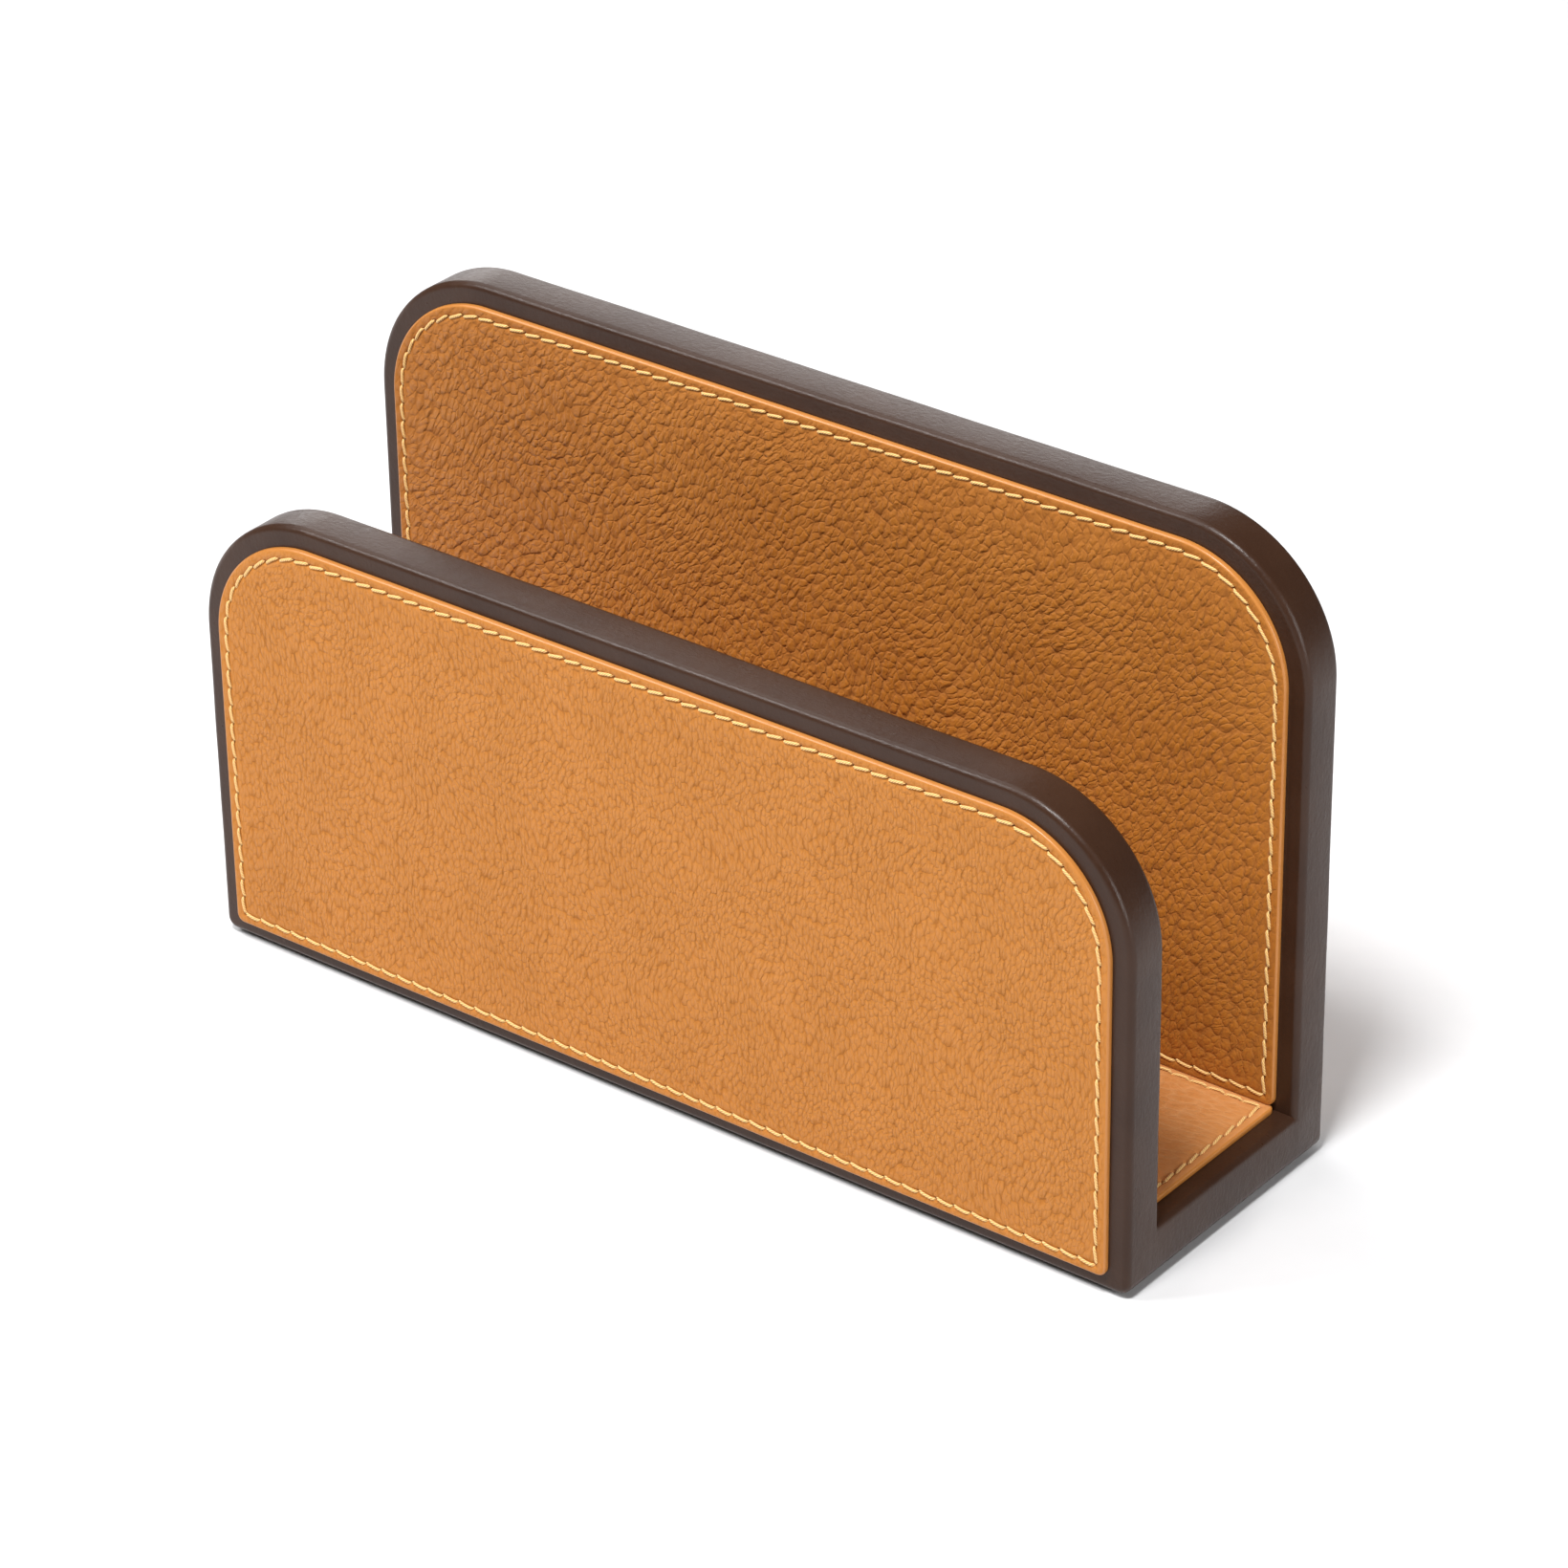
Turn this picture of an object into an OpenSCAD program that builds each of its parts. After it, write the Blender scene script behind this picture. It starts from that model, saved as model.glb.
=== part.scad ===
// Leather desk rack for letters and cards.
// Two upright boards and a base, each a wooden core wrapped in dark leather, carry five
// tan panels that are stitched round their edges and glued on.
// X runs along the length, the low board faces -Y, and the rack stands on z = 0.

/* [Overall] */
// Length over the leather
length = 200; // [160:1:260]
// Depth over the leather of the two boards
depth = 58; // [50:1:110]
// Height of the low front board, without the lining under it
front_height = 88.5; // [70:0.5:100]
// Height of the tall back board, without the lining under it
back_height = 116.5; // [102:0.5:150]

/* [Boards] */
// Thickness of an upright board with its leather
board_t = 9; // [8:0.5:12]
// Thickness of the base with its leather
base_t = 10; // [9:0.5:12]
// Radius of the two top corners of a board
top_corner_r = 26; // [20:1:32]
// Radius of the bottom corners of the rack, seen from the front
bottom_corner_r = 2.2; // [2:0.1:3]
// Radius of the soft edge all round a board
edge_r = 1.6; // [1.2:0.1:1.9]

/* [Wrap leather] */
// Thickness of the dark leather that wraps the cores
wrap_t = 1; // [0.8:0.1:1.1]

/* [Panels] */
// Thickness of the tan leather of a panel
face_t = 0.7; // [0.6:0.1:1.2]
// Thickness of the stiff backing that is sewn behind it
backing_t = 0.4; // [0.3:0.1:0.8]
// Dark leather left showing at the ends and at the top of a panel
side_margin = 3.9; // [2.5:0.1:6]
// Dark leather left showing under an outer panel
foot_margin = 3.1; // [2.5:0.1:6]
// Radius of the bottom corners of a panel
panel_foot_r = 1.6; // [1:0.1:1.9]
// From the edge of a panel to the middle of its seam
seam_inset = 2; // [2:0.1:3.5]

/* [Thread] */
// Width of the linen thread
thread_w = 0.6; // [0.4:0.1:0.8]
// How far the thread stands above the panel
thread_rise = 0.3; // [0.2:0.05:0.4]
// How deep the thread lies in its pressed groove
thread_sink = 0.2; // [0.1:0.05:0.3]

/* [Dowels] */
// Diameter of a beech dowel
dowel_d = 4; // [3:0.5:5]
// Number of dowels along each joint
dowel_count = 3; // [2:1:5]
// How far a dowel goes into an upright core
dowel_in_board = 5; // [4:0.5:5]
// How far a dowel goes into the base core
dowel_in_base = 12; // [8:1:13]

/* [Lining] */
// Thickness of the suede lining on the underside
lining_t = 0.8; // [0.6:0.1:1.2]
// From the outside of the rack to the edge of the lining
lining_inset = 4; // [3:0.5:8]
// Radius of the corners of the lining
lining_corner_r = 3; // [2:0.5:6]

/* [Hidden] */
$fn = 64;

WRAP_COLOR = "#4a3a31";
TAN_COLOR = "#cf8a48";
BACKING_COLOR = "#a9835c";
THREAD_COLOR = "#f1d18c";
CORE_COLOR = "#c8ab82";
DOWEL_COLOR = "#e0c49a";
LINING_COLOR = "#54423a";

panel_t = face_t + backing_t;
panel_l = length - 2 * side_margin;
panel_top_r = top_corner_r - side_margin;
core_l = length - 2 * wrap_t;
core_t = board_t - 2 * wrap_t;
core_edge_r = edge_r - wrap_t;
core_top_r = top_corner_r - wrap_t;
core_foot_r = bottom_corner_r - wrap_t;
// Inner radius of the seam where it turns a tight corner
seam_corner_r = 0.3;

// The faces of the boards, from the front of the rack to its back
front_face_y = -depth / 2;
front_inside_y = front_face_y + board_t;
back_face_y = depth / 2;
back_inside_y = back_face_y - board_t;
slot_w = back_inside_y - front_inside_y;

// The wrapped boards stand on the lining
foot_z = lining_t;
base_top_z = foot_z + base_t;
floor_z = base_top_z + panel_t;
dowel_z = foot_z + base_t / 2;
dowel_span = 0.7 * length;

// Lower edge of the outer panels, and the height of each upright panel
outer_z = foot_z + foot_margin;
front_outer_h = front_height - side_margin - foot_margin;
back_outer_h = back_height - side_margin - foot_margin;
front_inner_h = foot_z + front_height - side_margin - floor_z;
back_inner_h = foot_z + back_height - side_margin - floor_z;

// Rectangle standing on the X axis, with round corners
module outline(w, h, r_top, r_foot) {
    translate([-w / 2, r_foot]) square([w, h - r_top - r_foot]);
    translate([-w / 2 + r_top, h / 2]) square([w - 2 * r_top, h / 2]);
    translate([-w / 2 + r_foot, 0]) square([w - 2 * r_foot, h / 2]);
    for (side = [-1, 1]) {
        translate([side * (w / 2 - r_top), h - r_top]) circle(r_top);
        translate([side * (w / 2 - r_foot), r_foot]) circle(r_foot);
    }
}

// A flat drawing stood upright: its x along the length, its y up, from y0 to y0 + t
module upright(y0, t) {
    translate([0, y0 + t, 0]) rotate([90, 0, 0]) linear_extrude(t) children();
}

// Section across a board from u = 0 to its soft outer edge at u = w
module edge_section(w, t, r) {
    intersection() {
        square([w, t]);
        union() {
            square([w - r, t]);
            translate([0, r]) square([w, t - 2 * r]);
            translate([w - r, r]) circle(r);
            translate([w - r, t - r]) circle(r);
        }
    }
}

// Board on z = 0 from y = 0 to y = t, its edge section carried round the outline
module soft_board(l, h, t, r_top, r_foot, r) {
    side_h = h - r_top - r_foot;
    top_l = l - 2 * r_top;
    foot_l = l - 2 * r_foot;
    translate([-top_l / 2, 0, r_foot]) cube([top_l, t, side_h]);
    translate([top_l / 2, 0, h - r_top])
        rotate([0, -90, 0]) linear_extrude(top_l) edge_section(r_top, t, r);
    translate([foot_l / 2, 0, r_foot])
        mirror([0, 0, 1]) rotate([0, -90, 0]) linear_extrude(foot_l) edge_section(r_foot, t, r);
    for (side = [0, 1]) mirror([side, 0, 0]) {
        translate([top_l / 2, 0, r_foot]) linear_extrude(side_h) edge_section(r_top, t, r);
        translate([top_l / 2, t, h - r_top])
            rotate([90, 0, 0]) rotate_extrude(angle = 90) edge_section(r_top, t, r);
        translate([foot_l / 2, t, r_foot])
            mirror([0, 0, 1]) rotate([90, 0, 0]) rotate_extrude(angle = 90) edge_section(r_foot, t, r);
    }
}

// Wooden core of an upright board whose front face is at y0
module upright_core(y0, h) {
    translate([0, y0 + wrap_t, foot_z + wrap_t])
        soft_board(core_l, h - 2 * wrap_t, core_t, core_top_r, core_foot_r, core_edge_r);
}

// The base block as a drawing, with soft top edges at its ends
module base_outline() {
    outline(length, base_t, edge_r, bottom_corner_r);
}

module base_block() {
    upright(front_inside_y - wrap_t, slot_w + 2 * wrap_t)
        translate([0, foot_z + wrap_t])
            outline(core_l, base_t - 2 * wrap_t, core_edge_r, core_foot_r);
}

// Dark leather round an upright core; inner_y is the face that the base is glued to
module board_wrap(y0, h, inner_y) {
    foot_y = min(inner_y, y0 + board_t / 2);
    difference() {
        union() {
            translate([0, y0, foot_z])
                soft_board(length, h, board_t, top_corner_r, bottom_corner_r, edge_r);
            upright(foot_y, board_t / 2) translate([0, foot_z]) base_outline();
        }
        upright_core(y0, h);
        base_block();
    }
}

// One row of dowels across the joint at y; side is 1 where the base lies towards +Y
module dowel_row(y, side) {
    start_y = side > 0 ? y - dowel_in_board : y - dowel_in_base;
    pitch = dowel_span / (dowel_count - 1);
    for (i = [0 : dowel_count - 1])
        translate([-dowel_span / 2 + i * pitch, start_y, dowel_z])
            rotate([-90, 0, 0]) cylinder(d = dowel_d, h = dowel_in_board + dowel_in_base);
}

module all_dowels() {
    dowel_row(front_inside_y - wrap_t, 1);
    dowel_row(back_inside_y + wrap_t, -1);
}

// Drawing of the seam: a line as wide as the thread, seam_inset inside the outline
module seam_line(w, h, r_top) {
    outer = seam_inset - thread_w / 2;
    inner = seam_inset + thread_w / 2;
    foot_r = seam_corner_r + thread_w;
    difference() {
        translate([0, outer])
            outline(w - 2 * outer, h - 2 * outer, max(r_top - outer, foot_r), foot_r);
        translate([0, inner])
            outline(w - 2 * inner, h - 2 * inner, max(r_top - inner, seam_corner_r), seam_corner_r);
    }
}

// Parts of an upright panel that faces side (-1 towards -Y, 1 towards +Y) from the face at y
module panel_face(y, side, z, h) {
    back_y = side > 0 ? y + backing_t : y - panel_t;
    groove_y = side > 0 ? y + panel_t - thread_sink : y - panel_t;
    difference() {
        upright(back_y, face_t) translate([0, z]) outline(panel_l, h, panel_top_r, panel_foot_r);
        upright(groove_y, thread_sink) translate([0, z]) seam_line(panel_l, h, panel_top_r);
    }
}

module panel_backing(y, side, z, h) {
    start_y = side > 0 ? y : y - backing_t;
    upright(start_y, backing_t) translate([0, z]) outline(panel_l, h, panel_top_r, panel_foot_r);
}

module panel_thread(y, side, z, h) {
    start_y = side > 0 ? y + panel_t - thread_sink : y - panel_t - thread_rise;
    upright(start_y, thread_sink + thread_rise)
        translate([0, z]) seam_line(panel_l, h, panel_top_r);
}

module floor_outline() {
    translate([0, front_inside_y]) outline(panel_l, slot_w, panel_foot_r, panel_foot_r);
}

module floor_seam() {
    translate([0, front_inside_y]) seam_line(panel_l, slot_w, panel_foot_r);
}

module front_core() {
    color(CORE_COLOR) difference() {
        upright_core(front_face_y, front_height);
        dowel_row(front_inside_y - wrap_t, 1);
    }
}

module back_core() {
    color(CORE_COLOR) difference() {
        upright_core(back_inside_y, back_height);
        dowel_row(back_inside_y + wrap_t, -1);
    }
}

module base_core() {
    color(CORE_COLOR) difference() {
        base_block();
        all_dowels();
    }
}

module front_dowels() {
    color(DOWEL_COLOR) dowel_row(front_inside_y - wrap_t, 1);
}

module back_dowels() {
    color(DOWEL_COLOR) dowel_row(back_inside_y + wrap_t, -1);
}

module front_wrap() {
    color(WRAP_COLOR) board_wrap(front_face_y, front_height, front_inside_y);
}

module back_wrap() {
    color(WRAP_COLOR) board_wrap(back_inside_y, back_height, back_inside_y);
}

module base_wrap() {
    color(WRAP_COLOR) difference() {
        upright(front_inside_y, slot_w) translate([0, foot_z]) base_outline();
        base_block();
    }
}

module underside_lining() {
    lining_l = length - 2 * lining_inset;
    lining_w = depth - 2 * lining_inset;
    color(LINING_COLOR) translate([0, -lining_w / 2, 0])
        linear_extrude(lining_t) outline(lining_l, lining_w, lining_corner_r, lining_corner_r);
}

module front_outer_panel() {
    color(TAN_COLOR) panel_face(front_face_y, -1, outer_z, front_outer_h);
}

module front_outer_backing() {
    color(BACKING_COLOR) panel_backing(front_face_y, -1, outer_z, front_outer_h);
}

module front_outer_thread() {
    color(THREAD_COLOR) panel_thread(front_face_y, -1, outer_z, front_outer_h);
}

module front_inner_panel() {
    color(TAN_COLOR) panel_face(front_inside_y, 1, floor_z, front_inner_h);
}

module front_inner_backing() {
    color(BACKING_COLOR) panel_backing(front_inside_y, 1, floor_z, front_inner_h);
}

module front_inner_thread() {
    color(THREAD_COLOR) panel_thread(front_inside_y, 1, floor_z, front_inner_h);
}

module back_inner_panel() {
    color(TAN_COLOR) panel_face(back_inside_y, -1, floor_z, back_inner_h);
}

module back_inner_backing() {
    color(BACKING_COLOR) panel_backing(back_inside_y, -1, floor_z, back_inner_h);
}

module back_inner_thread() {
    color(THREAD_COLOR) panel_thread(back_inside_y, -1, floor_z, back_inner_h);
}

module back_outer_panel() {
    color(TAN_COLOR) panel_face(back_face_y, 1, outer_z, back_outer_h);
}

module back_outer_backing() {
    color(BACKING_COLOR) panel_backing(back_face_y, 1, outer_z, back_outer_h);
}

module back_outer_thread() {
    color(THREAD_COLOR) panel_thread(back_face_y, 1, outer_z, back_outer_h);
}

module floor_panel() {
    color(TAN_COLOR) difference() {
        translate([0, 0, base_top_z + backing_t]) linear_extrude(face_t) floor_outline();
        translate([0, 0, floor_z - thread_sink]) linear_extrude(thread_sink) floor_seam();
    }
}

module floor_backing() {
    color(BACKING_COLOR) translate([0, 0, base_top_z]) linear_extrude(backing_t) floor_outline();
}

module floor_thread() {
    color(THREAD_COLOR) translate([0, 0, floor_z - thread_sink])
        linear_extrude(thread_sink + thread_rise) floor_seam();
}

front_core();
back_core();
base_core();
front_dowels();
back_dowels();
front_wrap();
back_wrap();
base_wrap();
underside_lining();
front_outer_panel();
front_outer_backing();
front_outer_thread();
front_inner_panel();
front_inner_backing();
front_inner_thread();
back_inner_panel();
back_inner_backing();
back_inner_thread();
back_outer_panel();
back_outer_backing();
back_outer_thread();
floor_panel();
floor_backing();
floor_thread();
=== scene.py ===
# %% [markdown]
# # A desk rack in two leathers
# The rack holds letters and cards on a desk. Three wooden boards make a U: a low one in
# front, a tall one behind, and a base. Each is wrapped in dark calf, and five panels of
# tan pebbled calf are sewn to a stiff backing and glued on, one for each broad face.
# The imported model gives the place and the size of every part. This lesson makes what
# the eye sees: soft leather edges, the grain, and every single stitch.

# %% The fixed frame
import math
from collections import namedtuple
import bmesh
import bpy
import numpy as np
from mathutils import Euler, Matrix, Vector


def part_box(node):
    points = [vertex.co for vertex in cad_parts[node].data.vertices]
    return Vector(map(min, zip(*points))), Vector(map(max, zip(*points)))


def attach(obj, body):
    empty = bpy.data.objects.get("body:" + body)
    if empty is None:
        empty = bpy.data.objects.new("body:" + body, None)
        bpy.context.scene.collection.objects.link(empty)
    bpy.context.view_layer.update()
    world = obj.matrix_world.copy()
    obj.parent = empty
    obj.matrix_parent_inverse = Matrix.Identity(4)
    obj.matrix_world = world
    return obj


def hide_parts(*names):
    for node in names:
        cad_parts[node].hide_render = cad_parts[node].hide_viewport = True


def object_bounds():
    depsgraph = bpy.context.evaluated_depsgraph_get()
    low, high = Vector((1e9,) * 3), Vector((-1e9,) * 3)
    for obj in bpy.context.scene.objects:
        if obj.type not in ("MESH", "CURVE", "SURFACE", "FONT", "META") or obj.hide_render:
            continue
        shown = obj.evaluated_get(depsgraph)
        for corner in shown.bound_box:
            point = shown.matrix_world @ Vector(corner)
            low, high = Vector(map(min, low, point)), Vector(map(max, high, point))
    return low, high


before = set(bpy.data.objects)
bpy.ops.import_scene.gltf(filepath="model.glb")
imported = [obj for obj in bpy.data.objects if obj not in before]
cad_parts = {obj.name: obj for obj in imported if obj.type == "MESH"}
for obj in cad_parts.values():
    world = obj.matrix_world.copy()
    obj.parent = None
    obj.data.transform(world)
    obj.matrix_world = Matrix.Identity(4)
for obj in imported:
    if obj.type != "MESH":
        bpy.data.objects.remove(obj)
cad_low, cad_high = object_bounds()
cad_box = [list(cad_low), list(cad_high)]
print("parts in the frame:", len(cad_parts))
print("size in mm:", [round(1000 * (b - a), 1) for a, b in zip(*cad_box)])

# %% [markdown]
# ## Units and colours
# The scene is in metres, and a leather worker thinks in millimetres, so each length is
# a number times MM. Colours are written as sRGB hex, the way a colour picker shows them,
# and a single function turns them into the linear values that the shaders want.

# %% Millimetres and linear colour
MM = 0.001


def linear(hex_colour):
    """sRGB hex such as '#c0813f' to linear red, green, blue and alpha."""
    parts = [int(hex_colour[i:i + 2], 16) / 255 for i in (1, 3, 5)]
    return tuple(c / 12.92 if c <= 0.04045 else ((c + 0.055) / 1.055) ** 2.4 for c in parts) + (1.0,)


print("tan in linear light:", [round(c, 3) for c in linear("#d28b4a")])

# %% [markdown]
# ## The camera
# A long lens from well above the front right corner keeps the long edges of the rack
# almost parallel, as a catalogue shows it. The camera is placed by two angles and a
# distance from a point near the middle of the rack, so it can be read like a tripod.

# %% Camera
AZIMUTH = math.radians(38.3)
ELEVATION = math.radians(29.64)
ROLL = math.radians(-0.88)
DISTANCE = 1038 * MM
LENS = 138.8
SENSOR = 36.0
AIM_OFFSET = Vector((6.3, 0.75, -5.8)) * MM


def look_from(azimuth, elevation, roll):
    """Camera rotation that looks at the origin from these angles."""
    return Euler((math.pi / 2 - elevation, 0, azimuth)).to_matrix() @ Matrix.Rotation(roll, 3, "Z")


middle = (Vector(cad_box[0]) + Vector(cad_box[1])) / 2
camera_turn = look_from(AZIMUTH, ELEVATION, ROLL)
camera = bpy.data.objects.new("camera", bpy.data.cameras.new("camera"))
bpy.context.scene.collection.objects.link(camera)
camera.data.lens = LENS
camera.data.sensor_width = SENSOR
camera.matrix_world = camera_turn.to_4x4()
camera.location = middle + AIM_OFFSET + camera_turn @ Vector((0, 0, DISTANCE))
bpy.context.scene.camera = camera
print("camera in mm:", [round(c / MM, 1) for c in camera.location])

# %% [markdown]
# ## Floor and light
# Satin leather shows its shape by what it mirrors, and its grain by shading, so the
# light comes from soft squares of different sizes. The front left one is the smallest
# but one: it models the grain, and the rounded top edge of each board mirrors it as a
# single bright line. The high one reaches over the front board into the rack. The two
# at the rear left are what the flat tops mirror, and the right one is for the ends of
# the boards. The pale floor and a little white all round fill the shadows.

# %% Floor, lamps and surroundings
bpy.context.scene.view_settings.view_transform = "Standard"


def soft_lamp(name, place, size, watts):
    """A square area lamp at `place` (metres from the rack's middle) that faces the rack."""
    lamp = bpy.data.objects.new(name, bpy.data.lights.new(name, "AREA"))
    lamp.data.shape = "SQUARE"
    lamp.data.size = size
    lamp.data.energy = watts
    lamp.location = middle + Vector(place)
    lamp.rotation_euler = (-Vector(place)).to_track_quat("-Z", "Y").to_euler()
    bpy.context.scene.collection.objects.link(lamp)


soft_lamp("front_left_lamp", (-0.73, -0.67, 0.92), 0.4, 10.2)
soft_lamp("high_lamp", (0.15, -0.50, 1.22), 0.3, 19.5)
soft_lamp("left_top_lamp", (-0.80, 0.2, 1.15), 0.9, 7)
soft_lamp("rear_left_lamp", (-0.85, 1.05, 0.42), 0.8, 5.5)
soft_lamp("right_lamp", (1.25, -0.1, 0.35), 0.5, 7)

world = bpy.data.worlds.new("white_studio")
world.use_nodes = True
world.node_tree.nodes["Background"].inputs["Color"].default_value = (1, 1, 1, 1)
world.node_tree.nodes["Background"].inputs["Strength"].default_value = 0.1
bpy.context.scene.world = world

# %% [markdown]
# ## Building materials
# A procedural material is a small graph of nodes. One helper adds a node, sets its
# properties, and fills or links its inputs, so that each material below reads from top
# to bottom as a recipe. Patterns are drawn in millimetres of the real surface, so two
# short recipes come first: the millimetre coordinates, and a way to let a pattern
# drift, because nothing on a hide is straight.

# %% Node helper
def add(tree, kind, inputs=None, **settings):
    """Add a node. `inputs` maps a socket to a value, to a node (its first output) or to an output."""
    node = tree.nodes.new(kind)
    for name, value in settings.items():
        setattr(node, name, value)
    for key, value in (inputs or {}).items():
        if isinstance(value, bpy.types.Node):
            value = next(output for output in value.outputs if output.enabled)
        if isinstance(value, bpy.types.NodeSocket):
            tree.links.new(value, node.inputs[key])
        else:
            node.inputs[key].default_value = value
    return node


def new_recipe(name):
    """An empty material, its node tree, and the shader at its end."""
    material = bpy.data.materials.new(name)
    material.use_nodes = True
    tree = material.node_tree
    tree.nodes.clear()
    shader = add(tree, "ShaderNodeBsdfPrincipled")
    add(tree, "ShaderNodeOutputMaterial", {"Surface": shader})
    return material, tree, shader


def finish_recipe(tree, shader, colour, roughness, bump):
    """Link the three things that vary over a surface to the shader."""
    for socket, node in (("Base Color", colour), ("Roughness", roughness), ("Normal", bump)):
        output = next(o for o in node.outputs if o.enabled)
        tree.links.new(output, shader.inputs[socket])


def surface_mm(tree):
    """The place on the surface in millimetres."""
    place = add(tree, "ShaderNodeTexCoord").outputs["Object"]
    return add(tree, "ShaderNodeVectorMath", {0: place, "Scale": 1 / MM}, operation="SCALE")


def drifted(tree, place, reach, size):
    """The same place pushed about by soft noise: up to `reach` mm, in swirls `size` mm wide."""
    noise = add(tree, "ShaderNodeTexNoise", {"Vector": place, "Scale": 1 / size, "Detail": 0.5})
    centred = add(tree, "ShaderNodeVectorMath", {0: noise.outputs["Color"], 1: (0.5, 0.5, 0.5)},
                  operation="SUBTRACT")
    push = add(tree, "ShaderNodeVectorMath", {0: centred, "Scale": 4 * reach}, operation="SCALE")
    return add(tree, "ShaderNodeVectorMath", {0: place, 1: push}, operation="ADD")


print("helpers ready")

# %% [markdown]
# ## Dark calf for the wrap
# The boards are wrapped in box calf: chrome-tanned, dyed through, and glazed to a satin
# finish. Its pores are about 0.3 mm apart, drawn at 0.7 mm so that they show. Where
# the hide is pulled over an edge, fine streaks run up the board. The eye gets a warm,
# almost black brown that turns grey where it mirrors something bright. Leather has an
# IOR near 1.5. It is set lower here, as pores too small to draw break up the mirror.

# %% Dark calf
# Sizes in mm: from pore to pore, a streak along each axis, and a cloud of colour
PORE_MM, STREAK_MM, CLOUD_MM = 0.7, (1.6, 0.7, 2.6), 14


def dark_calf():
    """Glazed calf with pores, streaks where it is pulled, and faint clouds of colour."""
    material, tree, shader = new_recipe("dark_box_calf")
    place = surface_mm(tree)
    pore_place = drifted(tree, place, 0.2, 0.9)
    pores = add(tree, "ShaderNodeTexVoronoi", {"Vector": pore_place, "Scale": 1 / PORE_MM},
                feature="SMOOTH_F1")
    streaks_per_mm = tuple(1 / size for size in STREAK_MM)
    streak_place = add(tree, "ShaderNodeMapping",
                       {"Vector": drifted(tree, place, 0.6, 4.0), "Scale": streaks_per_mm})
    streaks = add(tree, "ShaderNodeTexNoise",
                  {"Vector": streak_place, "Scale": 1.0, "Detail": 5.0, "Roughness": 0.65})
    cloud = add(tree, "ShaderNodeTexNoise", {"Vector": place, "Scale": 1 / CLOUD_MM, "Detail": 3.0})
    pitted = add(tree, "ShaderNodeMath", {0: pores, 1: -0.35}, operation="MULTIPLY")
    height = add(tree, "ShaderNodeMath", {0: streaks, 1: pitted}, operation="ADD")
    bump = add(tree, "ShaderNodeBump", {"Height": height, "Strength": 1.0, "Distance": 0.06 * MM})
    shade = add(tree, "ShaderNodeMapRange", {"Value": cloud, "From Min": 0.3, "From Max": 0.7})
    colour = add(tree, "ShaderNodeMix", {0: shade, 6: linear("#321e13"), 7: linear("#3b261a")},
                 data_type="RGBA")
    rubbed = add(tree, "ShaderNodeMapRange", {"Value": streaks, "From Min": 0.3, "From Max": 0.7,
                                              "To Min": 0.40, "To Max": 0.27})
    finish_recipe(tree, shader, colour, rubbed, bump)
    shader.inputs["IOR"].default_value = 1.33
    return material


DARK_CALF = dark_calf()
print("made", DARK_CALF.name)

# %% [markdown]
# ## Tan pebbled calf for the panels
# The panels are drum-dyed calf that was tumbled until the grain drew up into pebbles:
# soft domes, all longer than wide, since a hide stretches one way. On the firm part of
# a hide they are 0.75 by 1.7 mm, on the soft part 1.2 by 2.2 mm. Cell noise gives a
# dome when its distance from the middle of the cell is raised to a power. Real pebbles
# run into each other, so the creases between them are deep in one spot and faint in
# the next, and cloud noise says where. Long folds, small buds and soft wrinkles lie on
# top. The pattern drifts, as it follows the animal. The hollows are more matt, and
# painted shade darkens them, because the bump casts no shadow. On the floor calf they
# turn paler instead, which is its own fine crackle. The mesh of a panel says how much
# grain there is, because sewing presses it flat, and where the needle holes get painted
# shade. The IOR is set low for the same reason as that of the dark calf.

# %% Tan pebbled calf
# Sizes in mm: the finest lines of the skin, and a cloud of colour
SKIN_MM, BLUSH_MM = 0.45, 22
# What each adds to the depth of the hollows (wrinkles are ridges, so they take away)
BUD_SHARE, WRINKLE_SHARE, SKIN_SHARE = 0.22, -0.4, 0.16
# Painted shade in and round a needle hole
HOLE_SHADE_COLOUR = "#673710"


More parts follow.
